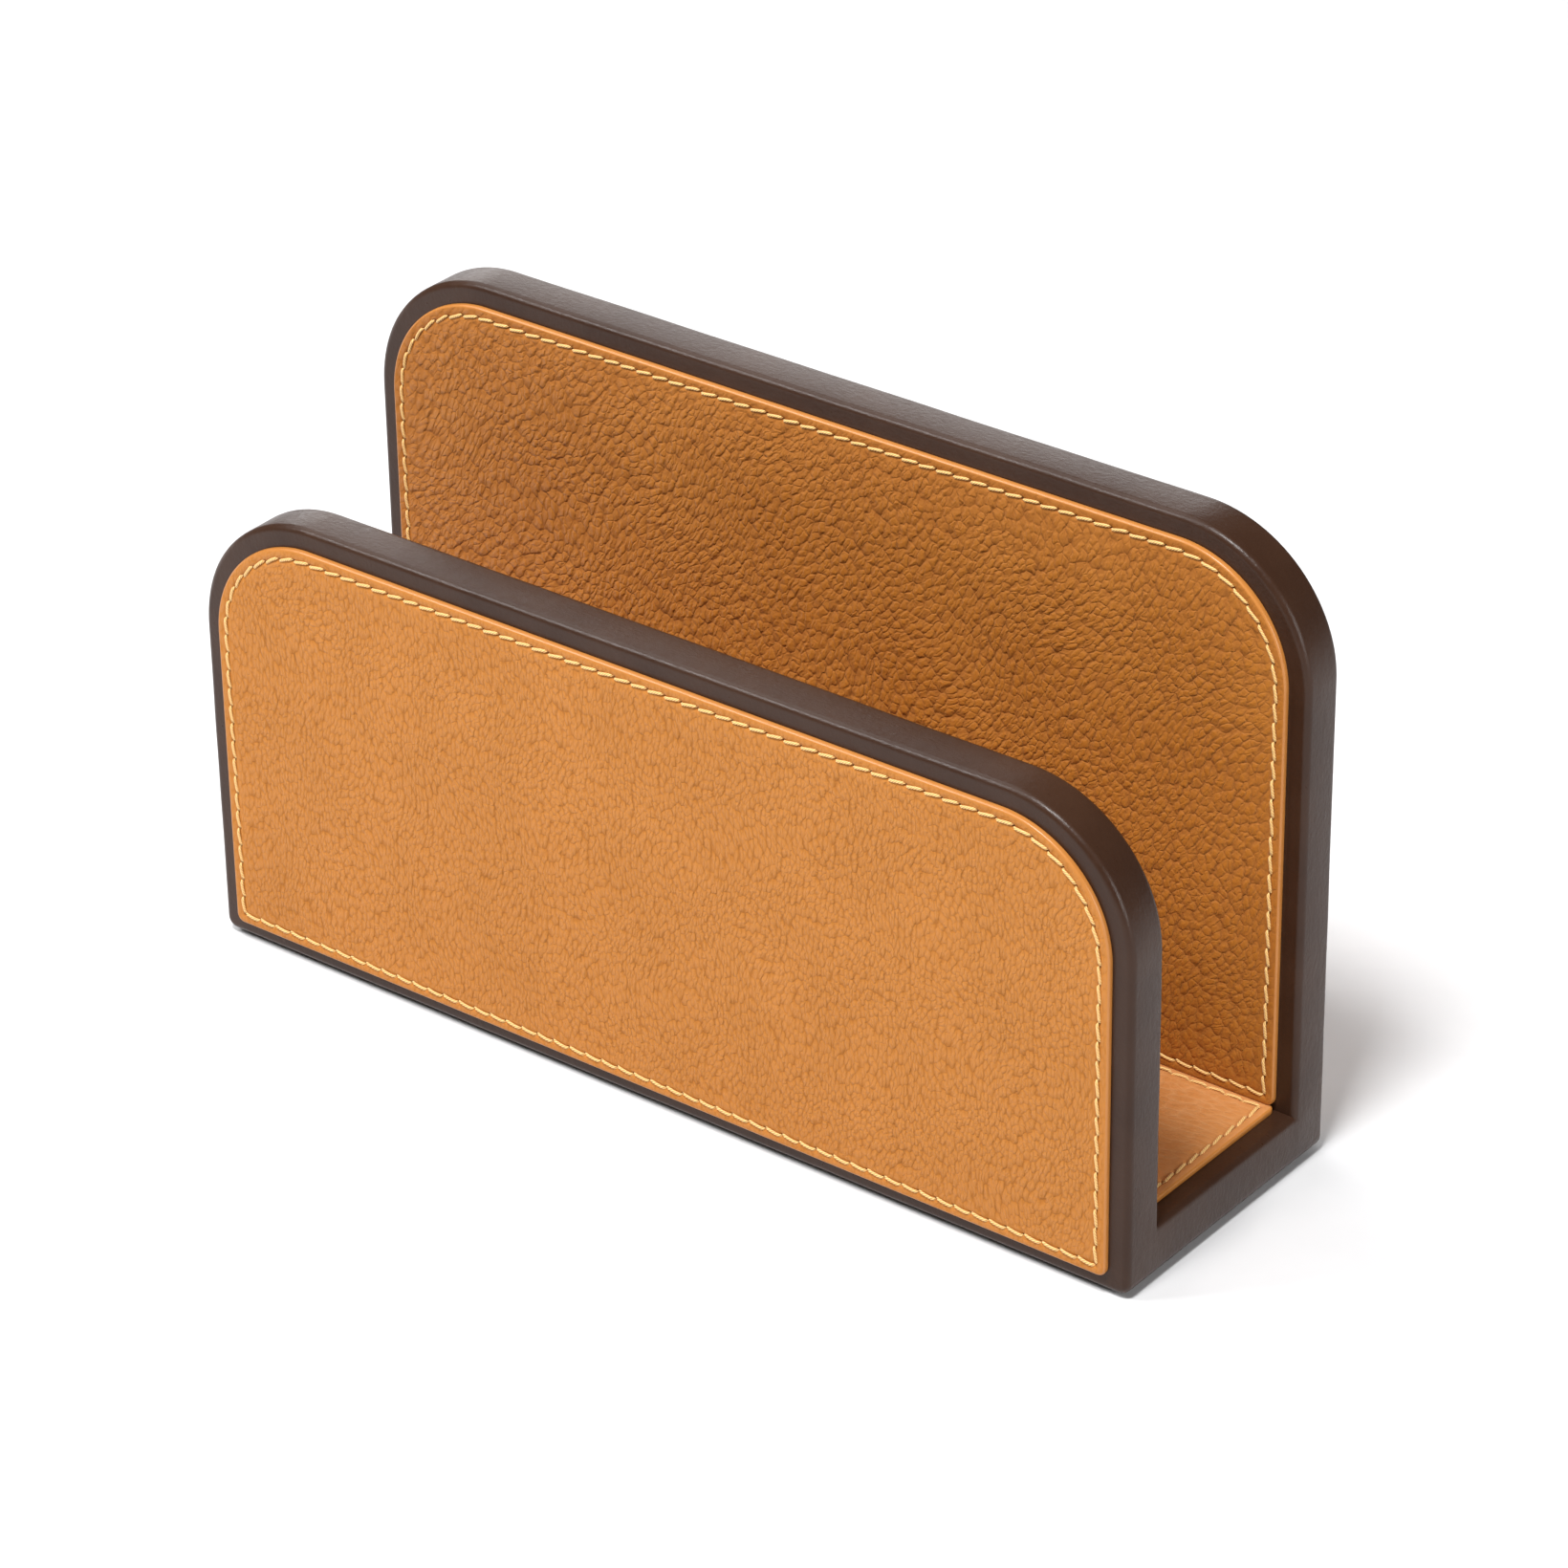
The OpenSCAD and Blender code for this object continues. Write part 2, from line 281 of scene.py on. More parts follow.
def pebbled_calf(name, grain_mm, turn, depth, crease_share, fold_share, colours, shade_and_crackle_share):
    """Tumbled calf. `grain_mm` is a pebble's width and length, `turn` how the hide lies, `depth` in mm."""
    material, tree, shader = new_recipe(name)
    light, dark, hollow_colour = (linear(c) for c in colours)
    pebble = math.sqrt(grain_mm[0] * grain_mm[1])
    pressed = add(tree, "ShaderNodeAttribute", attribute_name="grain").outputs["Fac"]
    place = surface_mm(tree)
    flow = drifted(tree, place, 1.1 * pebble, 14 * pebble)
    loose = drifted(tree, flow, 0.12 * pebble, 0.6 * pebble)
    cell_place = add(tree, "ShaderNodeMapping",
                     {"Vector": loose, "Scale": (*grain_mm, 1.0), "Rotation": turn}, vector_type="TEXTURE")
    flat = {"voronoi_dimensions": "2D"}
    cells = add(tree, "ShaderNodeTexVoronoi", {"Vector": cell_place, "Scale": 1.0, "Smoothness": 0.25},
                feature="SMOOTH_F1", **flat)
    dome = add(tree, "ShaderNodeMath", {0: cells, 1: 1.7}, operation="POWER")
    rims = add(tree, "ShaderNodeTexVoronoi", {"Vector": cell_place, "Scale": 1.0},
               feature="DISTANCE_TO_EDGE", **flat)
    rim = add(tree, "ShaderNodeMapRange", {"Value": rims, "From Max": 0.16, "To Min": 1.0, "To Max": 0.0},
              interpolation_type="SMOOTHSTEP")
    drawn = add(tree, "ShaderNodeTexNoise", {"Vector": place, "Scale": 1 / (2.2 * pebble), "Detail": 1.0})
    patchy = add(tree, "ShaderNodeMapRange", {"Value": drawn, "From Min": 0.35, "From Max": 0.6,
                                              "To Min": 0.45 * crease_share, "To Max": crease_share})
    crease = add(tree, "ShaderNodeMath", {0: rim, 1: patchy}, operation="MULTIPLY")
    buds = add(tree, "ShaderNodeTexVoronoi", {"Vector": cell_place, "Scale": 2.1}, **flat)
    bud = add(tree, "ShaderNodeMath", {0: buds, 1: 2.0}, operation="POWER")
    fold_place = add(tree, "ShaderNodeMapping", {"Vector": cell_place, "Scale": (0.6, 0.28, 1.0)})
    folds = add(tree, "ShaderNodeTexVoronoi", {"Vector": fold_place, "Scale": 1.0},
                feature="DISTANCE_TO_EDGE", **flat)
    fold = add(tree, "ShaderNodeMapRange",
               {"Value": folds, "From Max": 0.22, "To Min": fold_share, "To Max": 0.0},
               interpolation_type="SMOOTHSTEP")
    wrinkles = add(tree, "ShaderNodeTexNoise",
                   {"Vector": cell_place, "Scale": 0.6, "Detail": 4.0, "Roughness": 0.6})
    skin = add(tree, "ShaderNodeTexNoise", {"Vector": place, "Scale": 1 / SKIN_MM, "Detail": 1.0})
    hollow = add(tree, "ShaderNodeMath", {0: dome, 1: crease}, operation="ADD")
    hollow = add(tree, "ShaderNodeMath", {0: hollow, 1: fold}, operation="ADD")
    hollow = add(tree, "ShaderNodeMath", {0: bud, 1: BUD_SHARE, 2: hollow}, operation="MULTIPLY_ADD")
    hollow = add(tree, "ShaderNodeMath", {0: wrinkles, 1: WRINKLE_SHARE, 2: hollow},
                 operation="MULTIPLY_ADD")
    rough_hollow = add(tree, "ShaderNodeMath", {0: skin, 1: SKIN_SHARE, 2: hollow},
                       operation="MULTIPLY_ADD")
    relief = add(tree, "ShaderNodeMath", {0: rough_hollow, 1: pressed}, operation="MULTIPLY")
    bump = add(tree, "ShaderNodeBump", {"Height": relief, "Strength": 1.0, "Distance": depth * MM},
               invert=True)
    cloud = add(tree, "ShaderNodeTexNoise", {"Vector": place, "Scale": 1 / BLUSH_MM, "Detail": 4.0})
    shade = add(tree, "ShaderNodeMapRange", {"Value": cloud, "From Min": 0.3, "From Max": 0.7})
    skin_colour = add(tree, "ShaderNodeMix", {0: shade, 6: light, 7: dark}, data_type="RGBA")
    # Painted shade: the hollows are mixed towards the third colour in place of the shadow that the bump does
    # not cast. The floor calf's third colour is paler, which is its own crackle.
    deep = add(tree, "ShaderNodeMapRange",
               {"Value": hollow, "From Min": 0.0, "From Max": 0.85, "To Max": shade_and_crackle_share})
    pressed_shade_and_crackle = add(tree, "ShaderNodeMath", {0: deep, 1: pressed}, operation="MULTIPLY")
    creased = add(tree, "ShaderNodeMix", {0: pressed_shade_and_crackle, 6: skin_colour, 7: hollow_colour}, data_type="RGBA")
    # Painted shade of the needle holes, read from the mesh
    hole_shade = add(tree, "ShaderNodeAttribute", attribute_name="hole_shade").outputs["Fac"]
    colour = add(tree, "ShaderNodeMix", {0: hole_shade, 6: creased, 7: linear(HOLE_SHADE_COLOUR)}, data_type="RGBA")
    polish = add(tree, "ShaderNodeMapRange", {"Value": hollow, "From Min": -0.1, "From Max": 0.6,
                                              "To Min": 0.44, "To Max": 0.8})
    finish_recipe(tree, shader, colour, polish, bump)
    shader.inputs["IOR"].default_value = 1.37
    return material


UPRIGHT = (math.pi / 2, math.radians(5), 0)
UPRIGHT_SLANTED = (math.pi / 2, math.radians(30), 0)
LYING = (0, 0, 0)
FIRM_CALF = pebbled_calf("tan_calf_firm", (0.75, 1.7), UPRIGHT, 0.26, 0.18, 0.15,
                         ("#be7a32", "#b8752d", "#98560f"), 0.5)
# Its darker tan is painted shade for the recess where the inner panels stand; its larger, slanted grain is
# its own
SOFT_SHADED_CALF = pebbled_calf("tan_calf_soft_shaded", (1.2, 2.2), UPRIGHT_SLANTED, 0.27, 0.25, 0.38,
                         ("#b2702b", "#a86724", "#85490f"), 0.45)
FLOOR_CALF = pebbled_calf("tan_calf_floor", (2.6, 1.2), LYING, 0.12, 0.2, 0.3,
                          ("#c5864d", "#bb7a41", "#cf9a66"), 0.4)
print("made", FIRM_CALF.name, SOFT_SHADED_CALF.name, FLOOR_CALF.name)

# %% [markdown]
# ## Edge paint and thread
# The cut edge of a panel is sealed with flexible acrylic paint, which dries to a
# smooth, rounded bead a little paler than the leather. The thread is waxed linen in
# three plies. Each ply is a ridge of the mesh, and the mesh tells where the hollows
# between them are, so that painted shade can darken those. Its fibres, 0.02 mm thick,
# are drawn at 0.1 mm.

# %% Edge paint and thread
# Sizes in mm: a drag mark in the paint, and a fibre of the thread
DRAG_MM, FIBRE_MM = 5, 0.1


def edge_paint():
    """A smooth bead of flexible paint with faint drag marks."""
    material, tree, shader = new_recipe("tan_edge_paint")
    drag = add(tree, "ShaderNodeTexNoise",
               {"Vector": surface_mm(tree), "Scale": 1 / DRAG_MM, "Detail": 4.0})
    colour = add(tree, "ShaderNodeMix", {0: drag, 6: linear("#b37130"), 7: linear("#bd7c3c")},
                 data_type="RGBA")
    bump = add(tree, "ShaderNodeBump", {"Height": drag, "Strength": 0.5, "Distance": 0.1 * MM})
    gloss = add(tree, "ShaderNodeMapRange", {"Value": drag, "To Min": 0.26, "To Max": 0.38})
    finish_recipe(tree, shader, colour, gloss, bump)
    shader.inputs["IOR"].default_value = 1.49
    return material


def waxed_linen():
    """Waxed thread, with painted shade in the hollows between its plies."""
    material, tree, shader = new_recipe("waxed_linen_thread")
    ply = add(tree, "ShaderNodeAttribute", attribute_name="ply").outputs["Fac"]
    fibres = add(tree, "ShaderNodeTexNoise",
                 {"Vector": surface_mm(tree), "Scale": 1 / FIBRE_MM, "Detail": 2.0})
    # Painted shade: the hollows between the plies are mixed towards the darker colour
    ply_shade = add(tree, "ShaderNodeMapRange", {"Value": ply, "From Min": -1.0, "From Max": 0.3})
    colour = add(tree, "ShaderNodeMix", {0: ply_shade, 6: linear("#b07c3c"), 7: linear("#edc47b")},
                 data_type="RGBA")
    bump = add(tree, "ShaderNodeBump", {"Height": fibres, "Strength": 0.5, "Distance": 0.05 * MM})
    wax = add(tree, "ShaderNodeMapRange", {"Value": fibres, "To Min": 0.45, "To Max": 0.7})
    finish_recipe(tree, shader, colour, wax, bump)
    shader.inputs["IOR"].default_value = 1.5
    shader.inputs["Sheen Weight"].default_value = 0.2
    return material


EDGE_PAINT = edge_paint()
LINEN = waxed_linen()
print("made", EDGE_PAINT.name, LINEN.name)

# %% [markdown]
# ## Hidden materials
# Fibreboard, beech, bonded leather and suede are fibres at heart, and they differ in
# colour, in the size and direction of the fibres, and in how rough they are. So one
# recipe serves all four, and the studio floor as well. Fibres of fibreboard are 0.1 mm
# thick and are drawn at 0.8 mm.

# %% Fibrous materials
def fibrous(name, pale, deep, fibre_mm, depth, rough):
    """Fibres of a size in mm along each axis, `depth` mm proud."""
    material, tree, shader = new_recipe(name)
    per_mm = tuple(1 / f for f in fibre_mm)
    place = add(tree, "ShaderNodeMapping", {"Vector": surface_mm(tree), "Scale": per_mm})
    fibres = add(tree, "ShaderNodeTexNoise", {"Vector": place, "Scale": 1.0, "Detail": 6.0})
    spread = add(tree, "ShaderNodeMapRange", {"Value": fibres, "From Min": 0.3, "From Max": 0.7})
    colour = add(tree, "ShaderNodeMix", {0: spread, 6: linear(deep), 7: linear(pale)}, data_type="RGBA")
    bump = add(tree, "ShaderNodeBump", {"Height": fibres, "Strength": 0.6, "Distance": depth * MM})
    dull = add(tree, "ShaderNodeMapRange", {"Value": fibres, "To Min": rough + 0.08, "To Max": rough - 0.08})
    finish_recipe(tree, shader, colour, dull, bump)
    return material


FIBREBOARD = fibrous("sanded_fibreboard", "#cdb088", "#b09068", (0.8, 0.8, 0.8), 0.05, 0.8)
BEECH = fibrous("plain_beech", "#e3c79d", "#cda777", (0.7, 6.0, 0.7), 0.04, 0.6)
BONDED = fibrous("bonded_leather_board", "#a8825a", "#8e6943", (1.2, 1.2, 1.2), 0.06, 0.85)
SUEDE = fibrous("brown_suede", "#54413a", "#3f2f27", (0.5, 0.5, 0.5), 0.15, 0.9)
SUEDE.node_tree.nodes["Principled BSDF"].inputs["Sheen Weight"].default_value = 0.4
FLOOR_PAINT = fibrous("matt_painted_board", "#e0e0e1", "#dededf", (9, 9, 9), 0.01, 0.9)

for node_name in ("front_core", "back_core", "base_core", "front_dowels", "back_dowels"):
    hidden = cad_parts[node_name].data
    hidden.materials.clear()
    hidden.materials.append(BEECH if "dowels" in node_name else FIBREBOARD)
print("cores and dowels have their finish")

# %% [markdown]
# ## The studio floor
# A pale, matt board. It shows as white because the lamps over it are strong.

# %% Studio floor
def mesh_object(name, points, faces, materials):
    """A mesh object from points in metres, shaded smooth."""
    mesh = bpy.data.meshes.new(name)
    mesh.from_pydata([tuple(p) for p in points], [], faces)
    for material in materials:
        mesh.materials.append(material)
    mesh.shade_smooth()
    piece = bpy.data.objects.new(name, mesh)
    bpy.context.scene.collection.objects.link(piece)
    return piece


FLOOR_HALF = 2.5
corners = [(-FLOOR_HALF, -FLOOR_HALF, 0), (FLOOR_HALF, -FLOOR_HALF, 0),
           (FLOOR_HALF, FLOOR_HALF, 0), (-FLOOR_HALF, FLOOR_HALF, 0)]
floor = mesh_object("studio_floor", corners, [(0, 1, 2, 3)], [FLOOR_PAINT])
print("floor laid")

# %% [markdown]
# ## The wrapped carcass
# Wet leather pulled over a board leaves no sharp edge, and at an inside corner the two
# soft edges meet in a mitre. So the three boards are first joined as one plain U, every
# outer edge of the U is rounded in one go, which cuts the mitres by itself, and then
# the U is parted again into the front, the base and the back. Cutting last keeps the
# faces at the ends flush, as they are under one pull of the hide.

# %% Outline of a board or a panel
ARC_STARTS = (180, 270, 0, 90)


def corner_of(i, w, h, radii, inset):
    """Centre and radius of corner i of an outline (0 bottom left, then anticlockwise)."""
    radius = max(radii[i] - inset, 0.0)
    side = -1 if i in (0, 3) else 1
    x = side * (w / 2 - inset - radius)
    z = h - inset - radius if i >= 2 else inset + radius
    return x, z, radius


def board_outline(w, h, radii, steps):
    """Points of a rounded rectangle that stands on z = 0, anticlockwise."""
    points = []
    for i, count in enumerate(steps):
        x, z, radius = corner_of(i, w, h, radii, 0)
        for k in range(count + 1):
            angle = math.radians(ARC_STARTS[i] + 90 * k / count)
            points.append((x + radius * math.cos(angle), z + radius * math.sin(angle)))
    return points


# %% [markdown]
# ## One U from three boards
# The sizes come from the frame. Each board is an outline pushed out to its thickness.
# The base reaches half-way into both uprights, so its ends lie inside them and not on
# one of their faces, which is what an exact boolean needs for a clean union.

# %% The three boards as one U
TOP_CORNER_R = 26 * MM
FOOT_CORNER_R = 2.2 * MM
EDGE_R = 1.3 * MM
TOP_STEPS, FOOT_STEPS, EDGE_STEPS = 28, 5, 7
front_low, front_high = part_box("front_wrap")
back_low, back_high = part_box("back_wrap")
base_low, base_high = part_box("base_wrap")


def slab(w, h, radii, steps, y_from, y_to, z_low):
    """A board with a rounded outline and sharp edges, as a bmesh in an object."""
    outline = board_outline(w, h, radii, steps)
    count = len(outline)
    points = [(x, y_from, z + z_low) for x, z in outline] + [(x, y_to, z + z_low) for x, z in outline]
    faces = [tuple(range(count)), tuple(range(2 * count - 1, count - 1, -1))]
    faces += [(k, k + count, (k + 1) % count + count, (k + 1) % count) for k in range(count)]
    return mesh_object("slab", points, faces, [])


def upright_slab(low, high):
    """The front or the back board, from the corners of its box."""
    return slab(high.x - low.x, high.z - low.z, (FOOT_CORNER_R,) * 2 + (TOP_CORNER_R,) * 2,
                (FOOT_STEPS,) * 2 + (TOP_STEPS,) * 2, low.y, high.y, low.z)


BOARD_T = front_high.y - front_low.y
base_slab = slab(base_high.x - base_low.x, base_high.z - base_low.z, (FOOT_CORNER_R,) * 2 + (0.0,) * 2,
                 (FOOT_STEPS,) * 2 + (1,) * 2, base_low.y - BOARD_T / 2, base_high.y + BOARD_T / 2,
                 base_low.z)
carcass = upright_slab(front_low, front_high)
for other in (base_slab, upright_slab(back_low, back_high)):
    union = carcass.modifiers.new("union", "BOOLEAN")
    union.operation = "UNION"
    union.solver = "EXACT"
    union.object = other
    bpy.context.view_layer.update()
    joined = bpy.data.meshes.new_from_object(carcass.evaluated_get(bpy.context.evaluated_depsgraph_get()))
    carcass.modifiers.clear()
    carcass.data = joined
    bpy.data.objects.remove(other)
print("carcass points before rounding:", len(carcass.data.vertices))

# %% [markdown]
# ## Soft edges
# Calf 1 mm thick bends round the edge of a board in a radius of a little over 1 mm. So
# every outer edge of the U that is sharper than 50 degrees is bevelled. After that the
# long faces are cut into strips, to have points that the next step can move.

# %% Round the outer edges and add points for the soft surface
u_mesh = bmesh.new()
u_mesh.from_mesh(carcass.data)
bmesh.ops.remove_doubles(u_mesh, verts=u_mesh.verts, dist=0.001 * MM)
bmesh.ops.dissolve_limit(u_mesh, angle_limit=math.radians(0.5), verts=u_mesh.verts, edges=u_mesh.edges)
bmesh.ops.recalc_face_normals(u_mesh, faces=u_mesh.faces)
SHARP = math.radians(50)
outer_edges = [e for e in u_mesh.edges if e.is_convex and e.calc_face_angle(0) > SHARP]
bmesh.ops.bevel(u_mesh, geom=outer_edges, offset=EDGE_R, offset_type="OFFSET", segments=EDGE_STEPS,
                profile=0.5, affect="EDGES", clamp_overlap=True)
CUT_STEP = 4 * MM


def slice_along(mesh, axis, low, high):
    """Cut the whole mesh into strips CUT_STEP wide across one axis."""
    count = max(int((high - low) / CUT_STEP), 1)
    for k in range(1, count):
        point = Vector((0, 0, 0))
        normal = Vector((0, 0, 0))
        point[axis] = low + (high - low) * k / count
        normal[axis] = 1
        bmesh.ops.bisect_plane(mesh, geom=mesh.verts[:] + mesh.edges[:] + mesh.faces[:],
                               dist=0.0001 * MM, plane_co=point, plane_no=normal)


slice_along(u_mesh, 0, front_low.x + TOP_CORNER_R, front_high.x - TOP_CORNER_R)
slice_along(u_mesh, 2, base_high.z + EDGE_R, front_high.z - TOP_CORNER_R)
slice_along(u_mesh, 1, base_low.y, base_high.y)
print("carcass points after rounding:", len(u_mesh.verts))

# %% [markdown]
# ## Wrapped by hand
# Glue and paring leave a hide a few hundredths of a millimetre high or low, in long
# waves. That is too little to see as a shape, but it bends the reflections. Beside the
# two joints no point moves across the joint, and both cuts lie a hair inside the base,
# so that each upright keeps the whole of its inner face.

# %% Let the hide follow the board less than perfectly, then part the U
SWELL = 0.05 * MM
JOINT = 0.002 * MM
JOINT_ZONE = 0.5 * MM
# Way and speed of each wave in radians per mm, and its start
WAVES = [(Vector((0.21, 0.13, 0.17)), 0.4),
         (Vector((-0.11, 0.31, 0.09)), 1.9),
         (Vector((0.05, -0.2, 0.38)), 3.1)]
u_mesh.normal_update()
for vertex in u_mesh.verts:
    wave = sum(math.sin(way.dot(vertex.co) / MM + start) for way, start in WAVES) / len(WAVES)
    swell = vertex.normal * SWELL * wave
    if min(abs(vertex.co.y - base_low.y), abs(vertex.co.y - base_high.y)) < JOINT_ZONE:
        swell.y = 0
    vertex.co += swell


def part_of_carcass(name, y_from, y_to):
    """The closed piece of the U between two planes across Y."""
    piece = u_mesh.copy()
    for y, keep in ((y_from, 1), (y_to, -1)):
        cut = bmesh.ops.bisect_plane(piece, geom=piece.verts[:] + piece.edges[:] + piece.faces[:],
                                     plane_co=(0, y, 0), plane_no=(0, keep, 0), clear_inner=True)
        rim = [e for e in cut["geom_cut"] if isinstance(e, bmesh.types.BMEdge)]
        if rim:
            bmesh.ops.contextual_create(piece, geom=rim)
    bmesh.ops.recalc_face_normals(piece, faces=piece.faces)
    mesh = bpy.data.meshes.new(name)
    piece.to_mesh(mesh)
    piece.free()
    mesh.materials.append(DARK_CALF)
    mesh.shade_smooth()
    mesh.set_sharp_from_angle(angle=SHARP)
    wrap = bpy.data.objects.new(name, mesh)
    bpy.context.scene.collection.objects.link(wrap)
    return wrap


BEYOND = 10 * MM
for name, y_from, y_to in (("front_wrap", front_low.y - BEYOND, base_low.y + JOINT),
                           ("base_wrap", base_low.y + JOINT, base_high.y - JOINT),
                           ("back_wrap", base_high.y - JOINT, back_high.y + BEYOND)):
    wrap = part_of_carcass(name + "_leather", y_from, y_to)
    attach(wrap, "root")
    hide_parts(name)
    print(wrap.name, len(wrap.data.vertices), "points")
bpy.data.objects.remove(carcass)
u_mesh.free()

# %% [markdown]
# ## Stations round a panel
# A panel is built from rings that follow its outline further and further inside. The
# needle holes have to fall exactly on points of the mesh, so the seam is divided first:
# from one tight corner to the next it gets a whole number of stitches, and each stitch
# a fixed number of stations. Every ring then has one point for each station.

# %% Stations
TOP_PANEL_R = 22.1 * MM
FOOT_PANEL_R = 1.6 * MM
UP_RADII = (FOOT_PANEL_R, FOOT_PANEL_R, TOP_PANEL_R, TOP_PANEL_R)
SEAM_INSET = 2.0 * MM
STITCH = 3.6 * MM
PER_STITCH = 12
TIGHT_STEPS = 6
# Pieces 0 to 3 of an outline are its corners, piece 4 + i is the run after corner i, and this is once round
ROUND_TRIP = (4, 1, 5, 2, 6, 3, 7, 0)
Station = namedtuple("Station", "piece share to_hole is_hole row", defaults=(0.0, False, 0))


def rim_point(w, h, radii, inset, piece, share):
    """The point a share of the way along one piece of an outline, `inset` inside its edge."""
    def on_arc(i, angle):
        x, z, radius = corner_of(i, w, h, radii, inset)
        return np.array((x + radius * math.cos(angle), z + radius * math.sin(angle)))
    if piece < 4:
        return on_arc(piece, math.radians(ARC_STARTS[piece] + 90 * share))
    i = piece - 4
    start = on_arc(i, math.radians(ARC_STARTS[i] + 90))
    end = on_arc((i + 1) % 4, math.radians(ARC_STARTS[(i + 1) % 4]))
    return start + (end - start) * share


def ring_at(w, h, radii, inset, stations):
    """A ring of an outline: its point at each station, `inset` inside the edge."""
    return np.array([rim_point(w, h, radii, inset, s.piece, s.share) for s in stations])


def plain_stations(steps):
    """Stations of an outline without a seam. `steps` says how many each of its pieces gets."""
    return [Station(piece, k / count) for piece, count in zip(ROUND_TRIP, steps) for k in range(count)]


def seam_stations(w, h, radii):
    """Stations of an outline with a seam, each with its distance to the nearest needle hole."""
    def seam_length(piece):
        if piece < 4:
            return max(radii[piece] - SEAM_INSET, 0) * math.pi / 2
        ends = [rim_point(w, h, radii, SEAM_INSET, piece, s) for s in (0, 1)]
        return float(np.linalg.norm(ends[1] - ends[0]))
    stations, row, run = [], 0, []
    for piece in ROUND_TRIP:
        if piece < 4 and radii[piece] <= SEAM_INSET:
            lengths = [seam_length(p) for p in run]
            stitches = round(sum(lengths) / STITCH)
            ends = np.cumsum(lengths)
            for k in range(stitches * PER_STITCH):
                s = ends[-1] * k / (stitches * PER_STITCH)
                j = int(np.searchsorted(ends, s, side="right"))
                share = (s - (ends[j] - lengths[j])) / lengths[j]
                to_hole = min(k % PER_STITCH, PER_STITCH - k % PER_STITCH) * STITCH / PER_STITCH
                stations.append(Station(run[j], share, to_hole, k % PER_STITCH == 0, row))
            stations += [Station(piece, k / TIGHT_STEPS, 0.0, k == 0, row) for k in range(TIGHT_STEPS)]
            row, run = row + 1, []
        else:
            run.append(piece)
    return stations


trial_low, trial_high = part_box("front_outer_backing")
trial_seam = seam_stations(trial_high.x - trial_low.x, trial_high.z - trial_low.z, UP_RADII)
# Each of its two tight corners counts as two holes at one spot
print("stitches round the front panel:", sum(station.is_hole for station in trial_seam) - 2)

# %% [markdown]
# ## The panels
# Across its edge a panel has a profile: a painted bead, a strip pressed flat by the
# sewing, the groove the thread lies in, and then the full leather. Each ring of the
# mesh is one point of that profile. At a needle hole the groove goes deeper. Inside
# the profile the leather is nearly flat and needs far fewer points, so the rings
# there keep only one point for each stitch.

# %% Panel mesh
# The paint's thickness in mm
PAINT_T = 0.12
# Distance inside the edge and height above the board in mm, from the back of the edge round to the face
EDGE_PROFILE = [(PAINT_T, 0.40), (PAINT_T, 0.03), (0.03, 0.02), (0.0, 0.12), (0.0, 0.62), (0.04, 0.84),
                (0.15, 1.00), (0.32, 1.08)]
FACE_PROFILE = [(0.55, 1.12), (0.9, 1.13), (1.25, 1.11), (1.5, 1.05), (1.7, 0.97), (1.85, 0.91), (2.0, 0.89),
                (2.15, 0.91), (2.3, 0.97), (2.5, 1.05), (2.8, 1.11), (3.3, 1.14), (4.2, 1.16)]
# Distance of the sparse rings inside the edge in mm
INNER_RINGS = [6, 9, 13, 18, 24, 31, 39]
MIDDLE_GAP = 2 * MM
# A needle hole in mm: how deep, and how far it spreads along and across the seam
HOLE_DEPTH, HOLE_ALONG, HOLE_ACROSS = 0.34, 0.30, 0.3
# The painted shade round it: how dark, and its spread along and across
HOLE_SHADE_DARK, HOLE_SHADE_ALONG, HOLE_SHADE_ACROSS = 0.8, 0.36, 0.25


def panel_points(w, h, radii, stations, inset, height):
    """One ring of a panel as rows of length, height up the panel, and height above the board."""
    ring = ring_at(w, h, radii, inset * MM, stations)
    to_hole = np.array([s.to_hole for s in stations]) / MM
    across = (inset * MM - SEAM_INSET) / MM
    dimple = HOLE_DEPTH * np.exp(-(to_hole / HOLE_ALONG) ** 2 - (across / HOLE_ACROSS) ** 2)
    return np.column_stack([ring, (height - dimple) * MM])


def hole_shade_at(stations, inset):
    """Painted shade of a needle hole at each station: its full darkness in a hole, 0 away from it."""
    to_hole = np.array([s.to_hole for s in stations]) / MM
    across = inset - SEAM_INSET / MM
    return HOLE_SHADE_DARK * np.exp(-(to_hole / HOLE_SHADE_ALONG) ** 2 - (across / HOLE_SHADE_ACROSS) ** 2)


def ring_faces(start, count, n_rings):
    """Quads between rings of `count` points each. `start` is the first point of the first ring."""
    faces = []
    for r in range(n_rings - 1):
        p, q = start + r * count, start + (r + 1) * count
        faces += [(p + k, p + (k + 1) % count, q + (k + 1) % count, q + k) for k in range(count)]
    return faces


def closed_faces(start, count, n_rings):
    """The same quads, and a face over the first and the last ring."""
    end = start + count * n_rings
    ends = [tuple(range(start + count - 1, start - 1, -1)), tuple(range(end - count, end))]
    return ring_faces(start, count, n_rings) + ends


def grain_at(inset):
    """How much of its grain the leather shows, by distance in mm from the edge."""
    insets = [0, 0.4, 1.2, 1.7, 2.0, 2.4, 3.4, 5.0]
    shares = [0, 0.3, 0.5, 0.3, 0.1, 0.3, 0.8, 1]
    return float(np.interp(inset, insets, shares))


